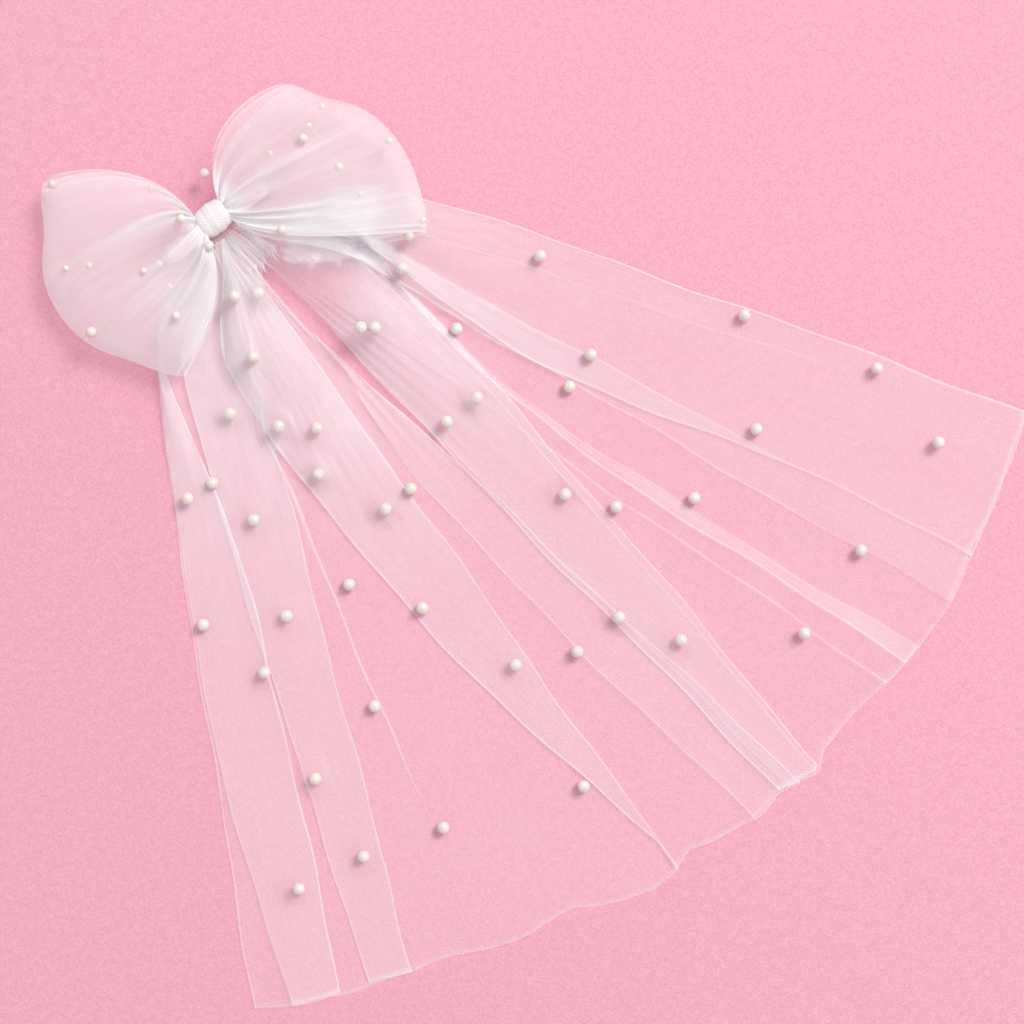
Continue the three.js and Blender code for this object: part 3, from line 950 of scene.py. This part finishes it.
cloth_tree = tree_of(left_tail, right_tail)
tail_sheets = (left_tail, right_tail)
tail_pearls = []
open_pearls = []
for node in sorted(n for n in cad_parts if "_tail_pearl_" in n):
    low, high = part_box(node)
    x, y = (low.x + high.x) / 2 / MM, (low.y + high.y) / 2 / MM
    if any(math.hypot(x - spot[0], y - spot[1]) < PEARL_RADIUS for spot in COVERED_SPOTS):
        tail_pearls.append((node, x, y))
    else:
        open_pearls.append((node, x, y))
hidden = [(f"under_fold_pearl_{k + 1}", *polar(place)) for k, place in enumerate(ONLY_SEEN_THROUGH)]

pearls = []
for name, x, y in tail_pearls + hidden:
    heights = layers_at(cloth_tree, x, y)
    below = heights[min(1, len(heights) - 1)]
    if heights[0] - below < 0.1:
        below = heights[-1]
    z = below + PEARL_RADIUS + 0.3
    bead = add_pearl(name.replace("_tail_pearl_", "_tail_bead_"), x, y, z)
    for sheet in tail_sheets:
        drape_over(sheet, x, y, z + PEARL_RADIUS, below)
    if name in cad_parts:
        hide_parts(name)
    pearls.append(bead)

cloth_tree = tree_of(left_tail, right_tail)
for node, x, y in open_pearls:
    z = layers_at(cloth_tree, x, y)[0] + PEARL_RADIUS - 0.1
    bead = add_pearl(node.replace("_tail_pearl_", "_tail_bead_"), x, y, z)
    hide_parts(node)
    pearls.append(bead)

# Pearls on the loops as (X, Y, radius) in millimetres, and those that lie under a loop's front.
LOOP_PEARLS = {
    "left": [(-12, -14, 3.2), (-54, -39, 3.0), (-104, -14, 3.4), (-93, 27, 2.2), (-54, -4, 2.2),
             (-16, 9, 3.0)],
    "right": [(75, 4, 3.2), (31, -34, 3.2), (94, -81, 3.2), (12, 28, 3.2)],
}
VEILED_PEARLS = {
    "left": [(-69, 76, 3.2), (-21, 36, 2.0), (-80, 20, 2.4), (-44, -5, 2.4), (-47, -20, 2.0)],
    "right": [(97, 16, 2.2), (83, 10, 2.2), (53, 10, 2.2), (119, -25, 2.8), (83, -22, 3.0), (84, -44, 2.0),
              (107, -78, 2.4)],
}
SEWN_ON = -0.4  # how high a pearl's underside is over the loop's front
SEWN_UNDER = -5.4  # and for a pearl that lies behind the front
LOWEST_CLOTH = KNOT_Z - 8  # taken as the cloth's height where it lies lower, or there is none
for side in ("left", "right"):
    loop_tree = tree_of(*loops[side])
    spots = [(spot, SEWN_ON) for spot in LOOP_PEARLS[side]]
    spots += [(spot, SEWN_UNDER) for spot in VEILED_PEARLS[side]]
    for index, ((x, y, radius), lift) in enumerate(spots):
        top = max(layers_at(loop_tree, x, y)[0], LOWEST_CLOTH)
        bead = add_pearl(f"{side}_loop_bead_{index + 1:02d}", x, y, top + radius + lift)
        bead.scale = (radius / PEARL_RADIUS,) * 3
        pearls.append(bead)

# ---- the pieces' body, the CAD parts they stand in for, and the carried-over parts' steel ----

ALL_PLIES = (*loops["left"], *loops["right"])
for piece in (left_tail, right_tail, frill, wrap, core, coil, felt, *pearls, *ALL_PLIES):
    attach(piece, "root")
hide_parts("left_tail")
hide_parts("right_tail")
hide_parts("tail_header")
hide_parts("left_loop")
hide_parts("right_loop")
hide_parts("knot_wrap")
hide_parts("gathered_core")
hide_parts("binding_thread")
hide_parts("felt_pad")

CARRIED_OVER = {
    "base_bar": STEEL, "hinge_pin": STEEL, "clamp_arm": STEEL,
    "catch_plate": STEEL, "catch_rivet": STEEL,
    "leaf_spring": SPRING_STEEL, "prong_front": SPRING_STEEL, "prong_rear": SPRING_STEEL,
}
for node, material in CARRIED_OVER.items():
    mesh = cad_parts[node].data
    mesh.materials.clear()
    mesh.materials.append(material)


# ---- stage, camera and light ----

VIEW_MIDDLE = (43.7, -261.2)  # the point under the camera
VIEW_WIDTH = 659.0
VIEW_TURN = math.radians(-36)
CAMERA_HEIGHT = 1200.0
FLOOR_HALF = 9.0  # metres
FLOOR_DROP = 0.0003  # below the bow's lowest face, so that the two don't share a plane
KEY_DIRECTION = (0.99, 0.16, 1.15)


def add_floor():
    size = FLOOR_HALF
    z = FLOOR_Z * MM - FLOOR_DROP
    mesh = bpy.data.meshes.new("floor")
    corners = [(-size, -size, z), (size, -size, z), (size, size, z), (-size, size, z)]
    mesh.from_pydata(corners, [], [(0, 1, 2, 3)])
    mesh.materials.append(floor_look())
    floor = bpy.data.objects.new("floor", mesh)
    bpy.context.scene.collection.objects.link(floor)
    floor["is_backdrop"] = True


def add_camera():
    data = bpy.data.cameras.new("camera")
    data.sensor_width = 36.0
    data.lens = data.sensor_width * CAMERA_HEIGHT / VIEW_WIDTH
    data.clip_start = 0.01
    camera = bpy.data.objects.new("camera", data)
    camera.location = Vector((*VIEW_MIDDLE, CAMERA_HEIGHT)) * MM
    camera.rotation_euler = (0, 0, VIEW_TURN)
    bpy.context.scene.collection.objects.link(camera)
    bpy.context.scene.camera = camera


def add_area_light(name, direction, distance, size, power, colour):
    """A square light that faces the middle of the view."""
    data = bpy.data.lights.new(name, "AREA")
    data.size = size
    data.energy = power
    data.color = colour
    light = bpy.data.objects.new(name, data)
    target = Vector((VIEW_MIDDLE[0] * MM, VIEW_MIDDLE[1] * MM, 0))
    offset = Vector(direction).normalized() * distance
    light.location = target + offset
    light.rotation_euler = offset.to_track_quat("Z", "Y").to_euler()
    bpy.context.scene.collection.objects.link(light)


def add_world(colour, strength):
    world = bpy.data.worlds.new("soft_room")
    world.use_nodes = True
    background = world.node_tree.nodes["Background"]
    background.inputs[0].default_value = (*colour, 1)
    background.inputs[1].default_value = strength
    bpy.context.scene.world = world


add_floor()
add_camera()
add_area_light(
    "key_light", KEY_DIRECTION, distance=6.0, size=2.2, power=235, colour=(1.0, 0.99, 0.98)
)
add_world((1.0, 0.985, 0.99), 0.6)
bpy.context.scene.view_settings.view_transform = "Standard"
bpy.context.scene.cycles.transparent_max_bounces = 40

low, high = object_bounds()
